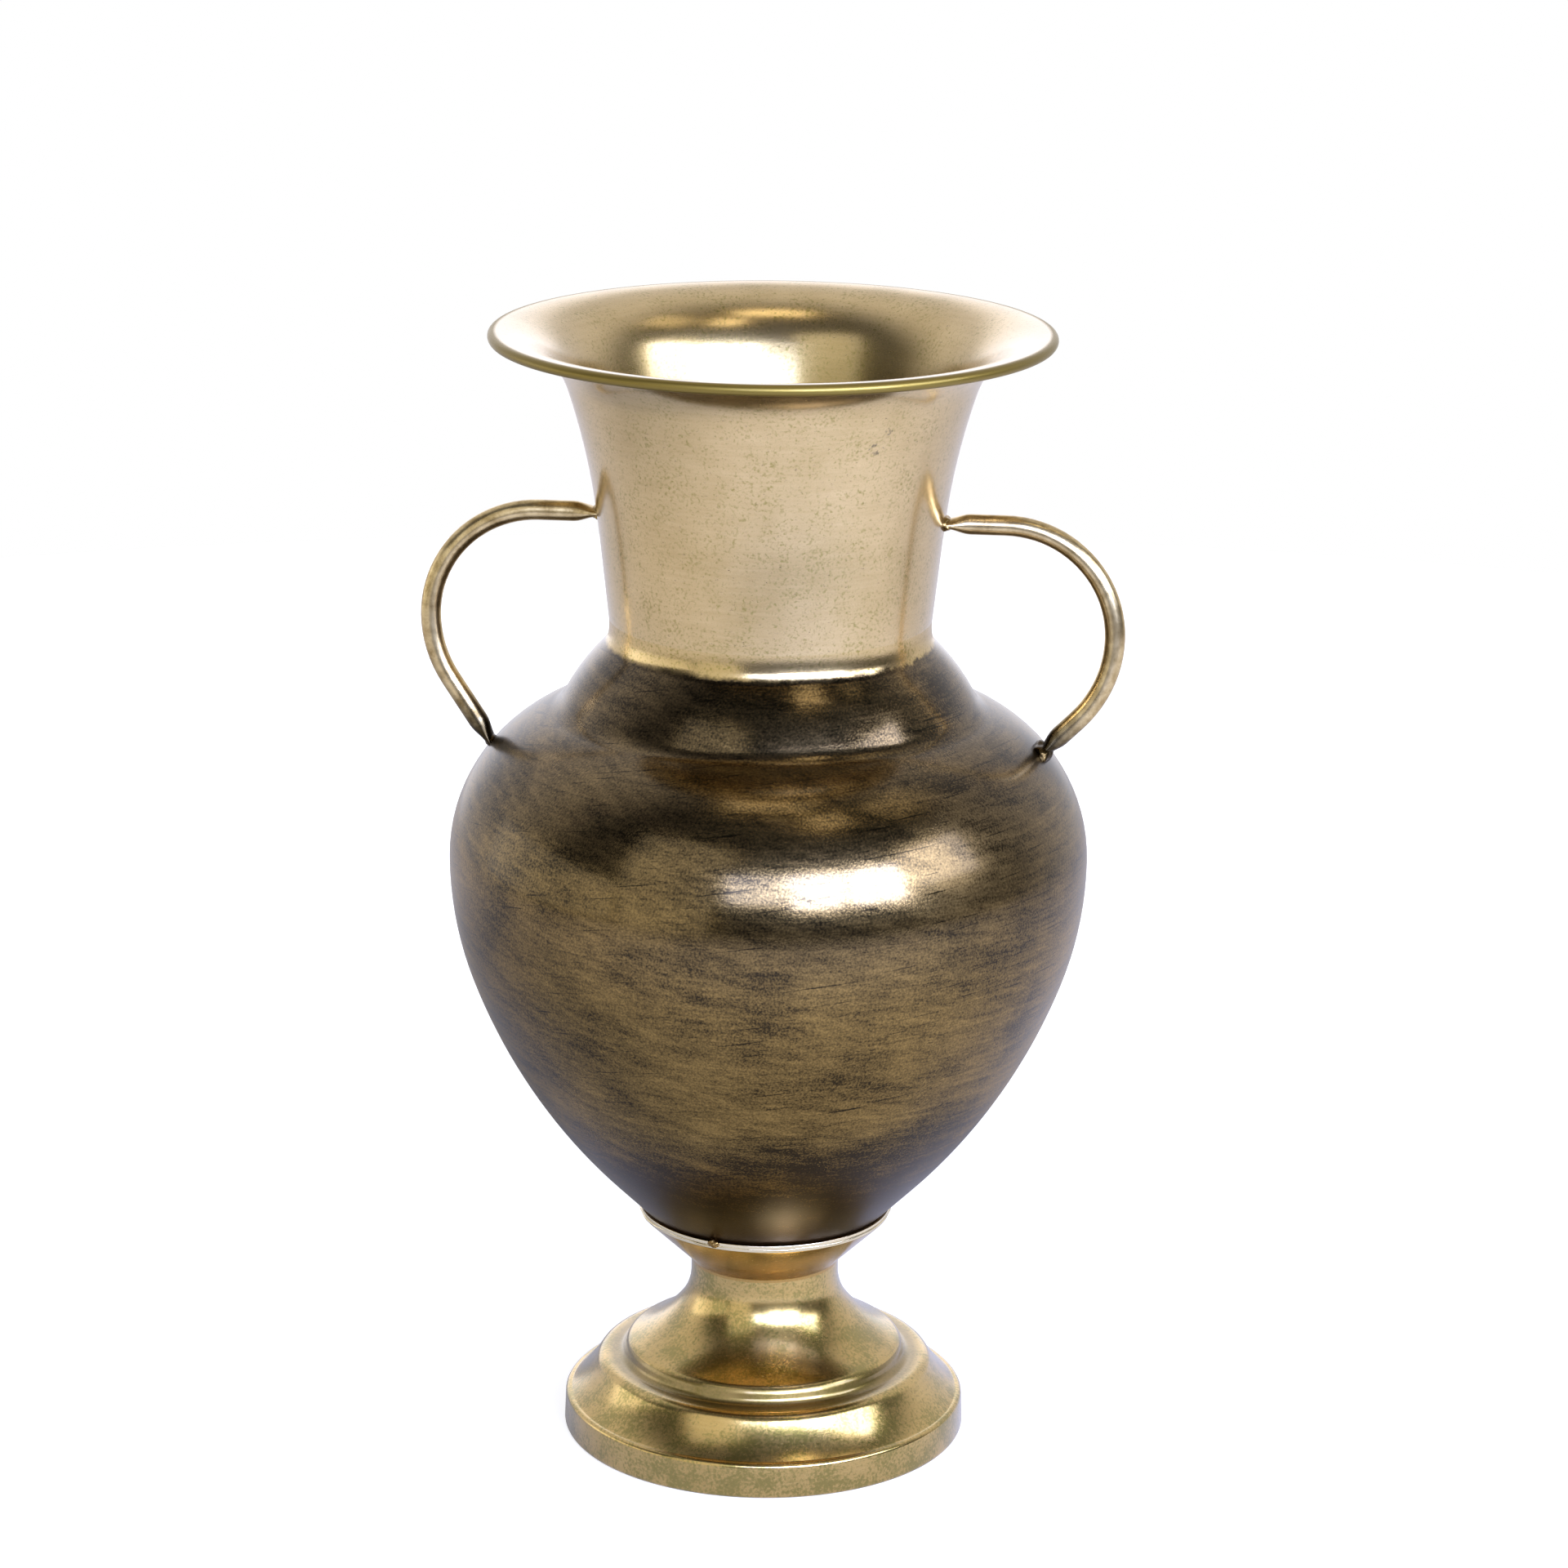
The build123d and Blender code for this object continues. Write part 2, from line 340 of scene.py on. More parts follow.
groove_across = (groove_radius - (belly_radius - shoulder_round)) / shoulder_round
groove_up = sqrt(1 - groove_across**2)
groove_lean = -degrees(pi / 2 - Vector((groove_across, groove_up)).angle(Vector((0, 1))))
groove_level = equator + shoulder_round * groove_up
bulge_up = neck_seam - collar_height - groove_level
bulge_in = groove_radius - neck_radius
bulge_chord_lean = -degrees(Vector((bulge_up, bulge_in)).angle(Vector((1, 0))))
bulge_chord = sqrt(bulge_up**2 + bulge_in**2)
bulge_depth = sqrt(4 * bulge_round**2 - bulge_up**2 - bulge_in**2)
bulge_half = degrees(Vector((bulge_depth, bulge_chord)).angle(Vector((1, 0))))
collar_top = (neck_radius - seam_run * tan(radians(neck_lean)), neck_seam - seam_run)
shoulder_profile = Profile(belly_radius, equator).run(seam_run)
shoulder_profile.turn(groove_lean, -shoulder_round).corner(bulge_chord_lean + bulge_half, groove_round)
shoulder_profile.turn(bulge_end_lean, -bulge_round)
shoulder_profile.two_turns(collar_lean, neck_lean, *collar_top).run(seam_run)
shoulder = spun_shell(shoulder_profile, "shoulder")

# %% [markdown]
# The neck is a straight taper that flares into a wide rim. The edge of the sheet is rolled under into a
# bead, which stiffens the rim and gives it the thin line that the eye reads as a rolled edge. The bead
# could be a separate ring, but the same profile simply turns on, as the spinner's tool does, so it has no
# seam.

# %% Neck
neck_straight = 25.0
flare_middle_lean = 18.8
rim_curl = 0.7
rim_curl_turn = 270

neck_profile = Profile(neck_radius, neck_seam, neck_lean)
neck_profile.run(neck_straight)
neck_profile.two_turns(flare_middle_lean, 90, rim_radius - rim_curl - sheet, rim_level - sheet)
neck_profile.turn(90 + rim_curl_turn, rim_curl)
neck = spun_shell(neck_profile, "neck")

# %% [markdown]
# The handles start at the neck, run level, bend down and meet the round of the shoulder. The two differ
# only in the lean of their lower end. No tube end or weld may show inside the vase, so whatever reaches
# through a shell is moved back into its sheet.

# %% Where the handles meet the vase
tube = 6.0
handle_rise = 36.6
handle_bend = 32.6
handle_lower_bend = 36.0
handle_top = neck_seam - collar_height + handle_rise
handle_reach = handle_outside - tube / 2
upper_joint = (neck_radius + (handle_top - neck_seam) * tan(radians(neck_lean)), handle_top)
foot_leans = {"left": 33.0, "right": 45.0}


def ahead_of(point, lean, length):
    return (point[0] + length * sin(radians(lean)), point[1] + length * cos(radians(lean)))


def lower_joint(foot_lean):
    """Where the straight foot of a handle starts, and where it meets the round of the shoulder."""
    bend = radians(foot_lean)
    start = (
        handle_reach - handle_lower_bend * (1 - cos(bend)),
        handle_top - handle_bend - handle_lower_bend * sin(bend),
    )
    across, above = start[0] - (belly_radius - shoulder_round), start[1] - equator
    nearest = across * sin(bend) + above * cos(bend)
    length = nearest - sqrt(nearest**2 - across**2 - above**2 + shoulder_round**2)
    return start, ahead_of(start, 180 + foot_lean, length)


def out_of_the_hollow(bm):
    """Moves the points that reach through the neck or the shoulder back to the middle of the sheet."""
    for vertex in bm.verts:
        point = vertex.co.copy()
        if point.z > neck_seam:
            wall = neck_radius + (point.z - neck_seam) * tan(radians(neck_lean)) - sheet / 2
            if point.xy.length < wall:
                vertex.co.xy = point.xy.normalized() * wall
        else:
            middle = Vector((*(point.xy.normalized() * (belly_radius - shoulder_round)), equator))
            wall = shoulder_round - sheet / 2
            if (point - middle).length < wall:
                vertex.co = middle + (point - middle).normalized() * wall


joints = {side: lower_joint(lean)[1] for side, lean in foot_leans.items()}
print("upper joints at", round(handle_top, 1), "mm, lower joints at",
      [round(level, 1) for _, level in joints.values()], "mm")

# %% [markdown]
# A bent tube. A circle is extruded for each straight run and spun for each bend, as a tube is bent round
# a roller. A curve with a round bevel would be shorter to write, but the real ends were pinched in a vice
# before welding, so the rings near an end have to be scaled from round to flat.

# %% Tube tools
tube_segments = 28
pinch_thickness = 2.6
pinch_width = 8.0
pinch_length = 7.5
pinch_rings = 6


class Tube:
    """A tube that grows on the +X side from a ring at a point, along a lean."""

    def __init__(self, point, lean):
        self.bm = bmesh.new()
        circle = bmesh.ops.create_circle(self.bm, cap_ends=True, radius=tube / 2, segments=tube_segments)
        self.ring = circle["verts"]
        self.lean = lean
        self.centre = Vector((point[0], 0, point[1]))
        self.size = (tube, tube)
        bmesh.ops.transform(self.bm, matrix=self.place(), verts=self.ring)

    def place(self):
        return Matrix.Translation(self.centre) @ Matrix.Rotation(radians(self.lean), 4, "Y")

    def edges(self):
        ring = set(self.ring)
        return [edge for edge in self.bm.edges if ring.issuperset(edge.verts)]

    def flatten(self, thickness, width):
        """Scales the end ring to a thickness in the handle's plane and a width across it."""
        factors = (thickness / self.size[0], width / self.size[1], 1)
        bmesh.ops.scale(self.bm, vec=factors, space=self.place().inverted(), verts=self.ring)
        self.size = (thickness, width)

    def run(self, length):
        grown = bmesh.ops.extrude_edge_only(self.bm, edges=self.edges())["geom"]
        self.ring = [item for item in grown if isinstance(item, bmesh.types.BMVert)]
        ahead = Vector((sin(radians(self.lean)), 0, cos(radians(self.lean)))) * length
        bmesh.ops.translate(self.bm, vec=ahead, verts=self.ring)
        self.centre += ahead

    def bend(self, lean, radius):
        start = radians(self.lean)
        centre = self.centre + radius * Vector((cos(start), 0, -sin(start)))
        turn = radians(lean) - start
        steps = round(turn / arc_step)
        grown = bmesh.ops.spin(
            self.bm, geom=self.ring + self.edges(), cent=centre, axis=(0, 1, 0), angle=turn, steps=steps,
        )["geom_last"]
        self.ring = [item for item in grown if isinstance(item, bmesh.types.BMVert)]
        self.centre = centre + Matrix.Rotation(turn, 3, "Y") @ (self.centre - centre)
        self.lean = lean

    def pinch(self, from_flat):
        """Rings over the length of a pinch, eased from flat to round or from round to flat."""
        for step in range(1, pinch_rings + 1):
            self.run(pinch_length / pinch_rings)
            share = step / pinch_rings if from_flat else 1 - step / pinch_rings
            share = share * share * (3 - 2 * share)
            thickness = pinch_thickness + (tube - pinch_thickness) * share
            self.flatten(thickness, pinch_width + (tube - pinch_width) * share)


# %% [markdown]
# Each handle starts pinched at the neck, a millimetre inside the joint. It opens to the round tube, runs
# level, bends down, bends in, and is pinched again at the shoulder. The left one is drawn on the right
# with its own lean and then mirrored.

# %% Handles
overrun = 1.0


def handle(side):
    foot_lean = foot_leans[side]
    bend_end, joint = lower_joint(foot_lean)
    bar = Tube(ahead_of(upper_joint, 90, -overrun), 90)
    bar.flatten(pinch_thickness, pinch_width)
    bar.run(overrun)
    bar.pinch(True)
    bar.run(handle_reach - handle_bend - bar.centre.x)
    bar.bend(180, handle_bend)
    bar.bend(180 + foot_lean, handle_lower_bend)
    bar.run((Vector(joint) - Vector(bend_end)).length - pinch_length)
    bar.pinch(False)
    bar.run(overrun)
    bmesh.ops.contextual_create(bar.bm, geom=bar.edges())
    out_of_the_hollow(bar.bm)
    if side == "left":
        bmesh.ops.scale(bar.bm, vec=(-1, 1, 1), verts=bar.bm.verts)
    bmesh.ops.recalc_face_normals(bar.bm, faces=bar.bm.faces)
    return as_piece(bar.bm, "handle_" + side + "_tube", "handle_" + side)


handles = [handle(side) for side in foot_leans]

# %% [markdown]
# Each handle end is held by a bead of braze, a lump that ran and froze. It could be sculpted, but a
# sphere squeezed to the bead's size, with its points pushed along a smooth noise, is quick and gives no
# two beads alike. The right lower bead is the largest, as in the photo. Sizes are half sizes: along the
# handle's plane, across it, and along the tube.

# %% Welds
bead_sizes = {
    ("left", "upper"): (2.4, 4.2, 2.2),
    ("left", "lower"): (1.8, 3.8, 2.4),
    ("right", "upper"): (2.4, 4.2, 2.2),
    ("right", "lower"): (3.2, 5.6, 3.4),
}
bead_fineness = 4
bead_lumps = 0.22
lumps_per_radius = 1.6
bead_seed_step = 3


def lump(bm, place, sizes, seed):
    """A frozen drop: a sphere squeezed to three half sizes, lumpy, at a place."""
    drop = bmesh.ops.create_icosphere(bm, subdivisions=bead_fineness, radius=1)["verts"]
    for vertex in drop:
        swell = bead_lumps * noise.noise(vertex.co * lumps_per_radius + Vector((seed, 0, 0)))
        vertex.co *= 1 + swell
    bmesh.ops.scale(bm, vec=sizes, verts=drop)
    bmesh.ops.transform(bm, matrix=place, verts=drop)


def weld(side, end, sizes, seed):
    point, lean = upper_joint, 90
    if end == "lower":
        point, lean = joints[side], 180 + foot_leans[side]
    bm = bmesh.new()
    place = Matrix.Translation((point[0], 0, point[1])) @ Matrix.Rotation(radians(lean), 4, "Y")
    lump(bm, place, sizes, seed)
    out_of_the_hollow(bm)
    if side == "left":
        bmesh.ops.scale(bm, vec=(-1, 1, 1), verts=bm.verts)
        bmesh.ops.recalc_face_normals(bm, faces=bm.faces)
    name = "weld_" + side + "_" + end
    return as_piece(bm, name + "_bead", name)


upper_welds, lower_welds = [], []
for number, ((side, end), sizes) in enumerate(bead_sizes.items()):
    bead = weld(side, end, sizes, bead_seed_step * number)
    (upper_welds if end == "upper" else lower_welds).append(bead)

# %% [markdown]
# Three tacks of solder hold the cup's lip to the belly. One of them shows in the photo, left of the
# middle, and the other two are set at equal turns behind it. They could be three objects, but they stand
# for one node, so one mesh holds them all.

# %% Tacks
tack_sizes = (1.3, 1.8, 1.4)
tack_drop = 0.4
tack_count = 3
tack_turn = radians(-107.4)
tack_seed = 40

tack_mesh = bmesh.new()
for number in range(tack_count):
    around = Matrix.Rotation(tack_turn + number * 2 * pi / tack_count, 4, "Z")
    on_lip = around @ Matrix.Translation((lip_radius, 0, lip_level - tack_drop))
    lump(tack_mesh, on_lip, tack_sizes, tack_seed + number)
tacks = as_piece(tack_mesh, "collar_tack_drops", "collar_tacks")

# %% [markdown]
# Finishes. Every metal here is a Principled shader with its metallic value at 1. What differs is the
# colour, the roughness and the fine relief, which come from noises scaled in real millimetres on the
# piece's own coordinates. A list fills a node's inputs from the top: for a Map Range a value, the range
# that it comes from and the range that it goes to. A Mix of colours has its share at input 0, its colours
# at 6 and 7, and its result at output 2.

# %% Finish tools


def colour(code):
    """An sRGB hex code as linear RGBA."""
    channels = [int(code[place:place + 2], 16) / 255 for place in (0, 2, 4)]
    return (*[c / 12.92 if c <= 0.04045 else ((c + 0.055) / 1.055) ** 2.4 for c in channels], 1)


def add(tree, kind, inputs, out=0, **settings):
    """Adds a node, sets its options, fills its inputs with values or sockets, and gives one output."""
    node = tree.nodes.new("ShaderNode" + kind)
    for name, value in settings.items():
        setattr(node, name, value)
    for name, value in inputs.items() if isinstance(inputs, dict) else enumerate(inputs):
        if isinstance(value, bpy.types.NodeSocket):
            tree.links.new(value, node.inputs[name])
        else:
            node.inputs[name].default_value = value
    return node.outputs[out]


def new_material(name):
    """A metal, with its node tree, its shader and the piece's own coordinates in millimetres."""
    material = bpy.data.materials.new(name)
    material.use_nodes = True
    tree = material.node_tree
    shader = tree.nodes["Principled BSDF"]
    shader.inputs["Metallic"].default_value = 1
    place = add(tree, "TexCoord", [], "Object")
    in_mm = add(tree, "VectorMath", {0: place, "Scale": 1 / MM}, operation="SCALE")
    return material, tree, shader, in_mm


def distance_to(tree, in_mm, points):
    """Distance in millimetres to the nearest of some points."""
    ways = [add(tree, "VectorMath", [in_mm, point], "Value", operation="DISTANCE") for point in points]
    shortest = ways[0]
    for way in ways[1:]:
        shortest = add(tree, "Math", [shortest, way], operation="MINIMUM")
    return shortest


def dress(pieces, material):
    for piece in pieces:
        piece.data.materials.clear()
        piece.data.materials.append(material)
    print(material.name, "on", [piece.name for piece in pieces])


# %% [markdown]
# Gold-lacquered spun brass: the neck, the foot and the cup. The lacquer gives a soft pale mirror,
# yellower on the foot than on the neck. Under it the sheet has olive patches, more of them on the foot
# than on the neck, dark specks where the leafing broke, and faint level traces of the lathe. It could be
# painted on an unwrapped mesh, but noises on the piece's own coordinates have no seam and keep their
# size. Sizes are in millimetres. The traces are finer on the real sheet, and are drawn this coarse so
# that they show.

# %% Gold lacquer
lacquer_cloud = 26
lacquer_cluster = 9
lacquer_grain = 0.9
lathe_trace = 0.8
leaf_speck = 1.1
foot_to_neck = (lip_level, neck_seam)


def gold_lacquer(tree, in_mm):
    """Colour, roughness and height of the gold lacquer."""
    height = add(tree, "SeparateXYZ", [in_mm], "Z")
    thin = add(tree, "MapRange", [height, *foot_to_neck, 0, 0.14])
    patchy = add(tree, "MapRange", [height, *foot_to_neck, 0.8, 0.3])
    cloud = add(
        tree, "TexNoise", {"Vector": in_mm, "Scale": 1 / lacquer_cloud, "Detail": 3, "Roughness": 0.6},
    )
    cluster = add(tree, "TexNoise", {"Vector": in_mm, "Scale": 1 / lacquer_cluster, "Detail": 3})
    grain = add(
        tree, "TexNoise", {"Vector": in_mm, "Scale": 1 / lacquer_grain, "Detail": 3, "Roughness": 0.6},
    )
    spread = add(tree, "Math", [cluster, patchy, thin], operation="MULTIPLY_ADD")
    mottle = add(tree, "Math", [grain, spread], operation="ADD")
    olive = add(tree, "MapRange", [mottle, 0.8, 1.03])
    lathe = add(tree, "Mapping", {"Vector": in_mm, "Scale": (0.06, 0.06, 1)})
    trace = add(tree, "TexNoise", {"Vector": lathe, "Scale": 1 / lathe_trace, "Detail": 3})
    traced = add(tree, "Math", [trace, 0.5, cloud], operation="MULTIPLY_ADD")
    mixed = add(tree, "Math", [grain, 0.6, traced], operation="MULTIPLY_ADD")
    tone = add(tree, "MapRange", [mixed, 0.75, 1.35])
    pale = add(tree, "Mix", {0: tone, 6: colour("c4a86c"), 7: colour("dcc088")}, 2, data_type="RGBA")
    deeper = add(tree, "MapRange", [height, *foot_to_neck, 1, 0])
    yellow = add(
        tree, "Mix", {0: deeper, 6: pale, 7: colour("fff8d6")}, 2, data_type="RGBA", blend_type="MULTIPLY",
    )
    gold = add(tree, "Mix", {0: olive, 6: yellow, 7: colour("a08e44")}, 2, data_type="RGBA")
    level = add(tree, "Mapping", {"Vector": in_mm, "Scale": (1, 1, 2)})
    speck = add(tree, "TexNoise", {"Vector": level, "Scale": 1 / leaf_speck, "Detail": 3, "Roughness": 0.6})
    broken = add(tree, "MapRange", [speck, 0.64, 0.8])
    flecked = add(tree, "Mix", {0: broken, 6: gold, 7: colour("6a5836")}, 2, data_type="RGBA")
    rough = add(tree, "MapRange", [cloud, 0.3, 0.7, 0.24, 0.2])
    rougher = add(tree, "Math", [broken, 0.15, rough], operation="MULTIPLY_ADD")
    return flecked, rougher, grain


gold, tree, shader, in_mm = new_material("gold-lacquered spun brass")
gold_colour, gold_rough, gold_height = gold_lacquer(tree, in_mm)
height = add(tree, "SeparateXYZ", [in_mm], "Z")
across = add(tree, "VectorMath", [in_mm, (1, 1, 0)], operation="MULTIPLY")
radius = add(tree, "VectorMath", [across], "Value", operation="LENGTH")
print(gold.name, len(tree.nodes), "nodes")

# %% [markdown]
# Wear of the gold, and painted light. The cone of the cup is warmer in tone than the foot, a painted
# reflection of the gold foot that it mirrors. The corner of the foot's ledge is darkened, a painted shade.
# The neck has two dark scuffs near the rim. Its inside is darkened below the flare, a painted shade that
# deepens downwards, and the direction of the normal tells the inside from the outside. Handling dulled the
# rolled bead, and the lip of the cup is painted pale, a painted highlight. Each is a mask by height, radius
# or distance, laid over the lacquer in turn.

# %% Wear of the gold, with painted shade, highlight and reflection
cone_band = ((foot_height + lip_level - lip_height) / 2, (lip_level - lip_height - foot_height) / 2)
ledge_shade_band = (ledge_level + 1.8, 2.4)
ledge_shade_radii = (riser_radius + 3, riser_radius + 6)
scuffs = [(36.5, -44.0, 320), (33.5, -45.5, 316)]
scuff_grit = 1.5
scuff_ragged = 7
scuff_edge = (4.4, 5.4)
inside_shade_levels = (rim_level - 24, rim_level - 8)
bead_radii = (rim_radius - 2.6, rim_radius - 1.6)
lip_highlight_band = (lip_level - 1, 1.1)

# Painted reflection: the cone of the cup is tinted amber for the gold foot that it mirrors.
cone = add(tree, "Math", [height, *cone_band], operation="COMPARE")
cup_reflection = add(tree, "Math", [cone, 0.75], operation="MULTIPLY")
cup_reflection_painted = add(tree, "Mix", {0: cup_reflection, 6: gold_colour, 7: colour("bc9040")}, 2, data_type="RGBA")

# Painted shade: the corner of the foot's ledge is darkened.
low = add(tree, "Math", [height, *ledge_shade_band], operation="COMPARE")
corner = add(tree, "MapRange", [radius, *ledge_shade_radii, 0.7, 0])
painted_recess_shade = add(tree, "Math", [low, corner], operation="MULTIPLY")
recess_shaded = add(tree, "Mix", {0: painted_recess_shade, 6: cup_reflection_painted, 7: colour("7a6630")}, 2, data_type="RGBA")

grit = add(tree, "TexNoise", {"Vector": in_mm, "Scale": 1 / scuff_grit, "Detail": 3})
away = distance_to(tree, in_mm, scuffs)
near = add(tree, "Math", [grit, scuff_ragged, away], operation="MULTIPLY_ADD")
scuff = add(tree, "MapRange", [near, *scuff_edge, 0.8, 0])
scuffed = add(tree, "Mix", {0: scuff, 6: recess_shaded, 7: colour("4a3c24")}, 2, data_type="RGBA")

facing = add(tree, "NewGeometry", [], "Normal")
outwards = add(tree, "VectorMath", [facing, across], "Value", operation="DOT_PRODUCT")
within = add(tree, "MapRange", [outwards, -1, 1, 1, 0])
# Painted shade: the inside of the neck darkens with depth below the flare.
deep = add(tree, "MapRange", [height, *inside_shade_levels, 0.45, 0])
painted_inside_shade = add(tree, "Math", [within, deep], operation="MULTIPLY")
inside_shaded = add(tree, "Mix", {0: painted_inside_shade, 6: scuffed, 7: colour("8a7830")}, 2, data_type="RGBA")

rim = add(tree, "MapRange", [radius, *bead_radii])
dulled = add(tree, "Mix", {0: rim, 6: inside_shaded, 7: colour("8a7636")}, 2, data_type="RGBA")
# Painted highlight: the lip of the cup is painted pale.
lip = add(tree, "Math", [height, *lip_highlight_band], operation="COMPARE")
lip_painted_highlight = add(tree, "Mix", {0: lip, 6: dulled, 7: colour("efdfb4")}, 2, data_type="RGBA")
print(gold.name, len(tree.nodes), "nodes with its wear")

# %% [markdown]
# The gold's gloss. The inside, the ledge's corner and the rolled bead are rougher than the rest. A clear
# coat lies over all of it, thin only on the bead. The grain stands up by less than two hundredths of a
# millimetre.

# %% Gloss of the gold
gold_relief = 0.016
coat_roughness = 0.15

inner = add(tree, "Math", [within, 0.02, gold_rough], operation="MULTIPLY_ADD")
matt = add(tree, "Math", [painted_recess_shade, 0.15, inner], operation="MULTIPLY_ADD")
duller = add(tree, "Math", [rim, 0.22, matt], operation="MULTIPLY_ADD")
coat = add(tree, "MapRange", {0: rim, 3: 1, 4: 0.2})
relief = add(tree, "Bump", {"Height": gold_height, "Strength": 1, "Distance": gold_relief * MM})
tree.links.new(lip_painted_highlight, shader.inputs["Base Color"])
tree.links.new(duller, shader.inputs["Roughness"])
tree.links.new(relief, shader.inputs["Normal"])
tree.links.new(coat, shader.inputs["Coat Weight"])
shader.inputs["Coat Roughness"].default_value = coat_roughness
dress([foot, collar_cup, neck], gold)

# %% [markdown]
# Dark bronze patina, brushed on: the belly and the shoulder. The brush went round the body and a little
# aslant, so the brown is streaked, with lighter metal showing through where the bristles dragged. An
# anisotropic shader could stretch the highlights instead, but here the colour itself is streaked, so
# noises are stretched into strokes. A stroke is given by its size along X, Y and Z in millimetres, long
# round the body and narrow up it, and by its turn in radians. The real bristle marks are finer, and are
# drawn this coarse so that they show.

# %% Brush marks of the patina
patina_cloud = 30
patina_pit = 0.6
brush_stroke = (28, 28, 0.8)
drag_stroke = (24, 24, 3)
drag_turn = (0.1, 0.3, 0)
scratch_stroke = (20, 20, 0.5)
scratch_turn = (-0.1, -0.16, 0)
bottom_shade_levels = (lip_level, lip_level + 55)


def bare_metal(tree, in_mm, height):
    """How much of the metal shows through the patina, from 0 to 1, and the pits of its surface."""
    cloud = add(
        tree, "TexNoise", {"Vector": in_mm, "Scale": 1 / patina_cloud, "Detail": 5, "Roughness": 0.65},
    )
    level = add(tree, "Mapping", {"Vector": in_mm, "Scale": brush_stroke}, vector_type="TEXTURE")
    streak = add(tree, "TexNoise", {"Vector": level, "Scale": 1, "Detail": 3, "Roughness": 0.6})
    slant = add(
        tree, "Mapping", {"Vector": in_mm, "Rotation": drag_turn, "Scale": drag_stroke},
        vector_type="TEXTURE",
    )
    drag = add(tree, "TexNoise", {"Vector": slant, "Scale": 1, "Detail": 5, "Roughness": 0.65})
    rise = add(
        tree, "Mapping", {"Vector": in_mm, "Rotation": scratch_turn, "Scale": scratch_stroke},
        vector_type="TEXTURE",
    )
    scratch = add(tree, "TexNoise", {"Vector": rise, "Scale": 1, "Detail": 2})
    scored = add(tree, "MapRange", [scratch, 0.64, 0.74, 0, -0.3])
    pit = add(tree, "TexNoise", {"Vector": in_mm, "Scale": 1 / patina_pit, "Detail": 2})
    # Painted shade: the patina darkens towards the bottom of the belly.
    painted_bottom_shade = add(tree, "MapRange", [height, *bottom_shade_levels, -0.4, 0])
    upper = add(tree, "MapRange", [height, equator, groove_level, 0, -0.06])
    layer = add(tree, "Math", [painted_bottom_shade, upper], operation="ADD")
    clouded = add(tree, "Math", [cloud, 0.8, layer], operation="MULTIPLY_ADD")
    brushed = add(tree, "Math", [streak, 0.35, clouded], operation="MULTIPLY_ADD")
    dragged = add(tree, "Math", [drag, 0.6, brushed], operation="MULTIPLY_ADD")
    pitted = add(tree, "Math", [pit, 0.8, dragged], operation="MULTIPLY_ADD")
    worn = add(tree, "Math", [pitted, scored], operation="ADD")
    return add(tree, "MapRange", [worn, 1.03, 1.55]), pit


# %% [markdown]
# The colour of the patina. It is darker towards the bottom, a painted shade, and amber there, a painted
# reflection of the gold foot; it is greyer on the shoulder. It is matt at the bottom and smoother further
# up, and rubbed dull at both sides, under the handles.

# %% Bronze patina
foot_reflection_levels = (lip_level, lip_level + 45)
grey_levels = (equator - 20, groove_level)
dull_levels = (lip_level, equator - 40)
rubbed_sides = (46, 62)


def bronze_patina(tree, in_mm):
    """Colour, roughness and height of the brushed patina."""
    height = add(tree, "SeparateXYZ", [in_mm], "Z")
    bare, pit = bare_metal(tree, in_mm, height)
    # Painted reflection: amber towards the bottom stands for the gold foot mirrored in the belly.
    painted_foot_reflection = add(tree, "MapRange", [height, *foot_reflection_levels, 1, 0])
    grey = add(tree, "MapRange", [height, *grey_levels])
    brass = add(tree, "Mix", {0: grey, 6: colour("9b7e46"), 7: colour("8e7852")}, 2, data_type="RGBA")
    metal = add(tree, "Mix", {0: painted_foot_reflection, 6: brass, 7: colour("8c682e")}, 2, data_type="RGBA")
    brown = add(tree, "Mix", {0: painted_foot_reflection, 6: colour("2f2511"), 7: colour("382308")}, 2, data_type="RGBA")
    streaked = add(tree, "Mix", {0: bare, 6: brown, 7: metal}, 2, data_type="RGBA")
    dull = add(tree, "MapRange", [height, *dull_levels, 0.36, 0.18])
    aside = add(tree, "Math", [height.node.outputs["X"]], operation="ABSOLUTE")
    rubbed = add(tree, "MapRange", [aside, *rubbed_sides, 0, 0.12])
    matt = add(tree, "Math", [dull, rubbed], operation="ADD")
    rough = add(tree, "Math", [bare, 0.04, matt], operation="MULTIPLY_ADD")
    return streaked, rough, pit


patina, tree, shader, in_mm = new_material("brushed bronze patina")
patina_colour, patina_rough, patina_height = bronze_patina(tree, in_mm)
gold_colour, gold_rough, _ = gold_lacquer(tree, in_mm)
print(patina.name, len(tree.nodes), "nodes")

# %% [markdown]
# The gold of the neck was masked by hand and runs over onto the collar, so its edge wanders, more on the
# right than on the left. The collar could be cut off as a gold piece, but then the edge would be a clean
# ring, so one material holds both finishes and mixes them by height and noise. Round the lower joints the
# body is darkened, partly soot from the torch and partly a painted shade of the handles. A clear coat
# covers the upper body and fades out towards the bottom.

# %% Gold edge, soot with painted shade, and gloss of the body
gold_edge = neck_seam - collar_height
edge_wander = 4
edge_sides = (-40, 40)
edge_depths = (2, 5)
edge_softness = 0.6
soot_and_shade_reach = (6, 18)
soot_and_shade_wander = 6
patina_relief = 0.022
coat_levels = (equator - 60, equator - 5)
torch_marks = [(-joints["left"][0], 0, joints["left"][1]), (joints["right"][0], 0, joints["right"][1])]

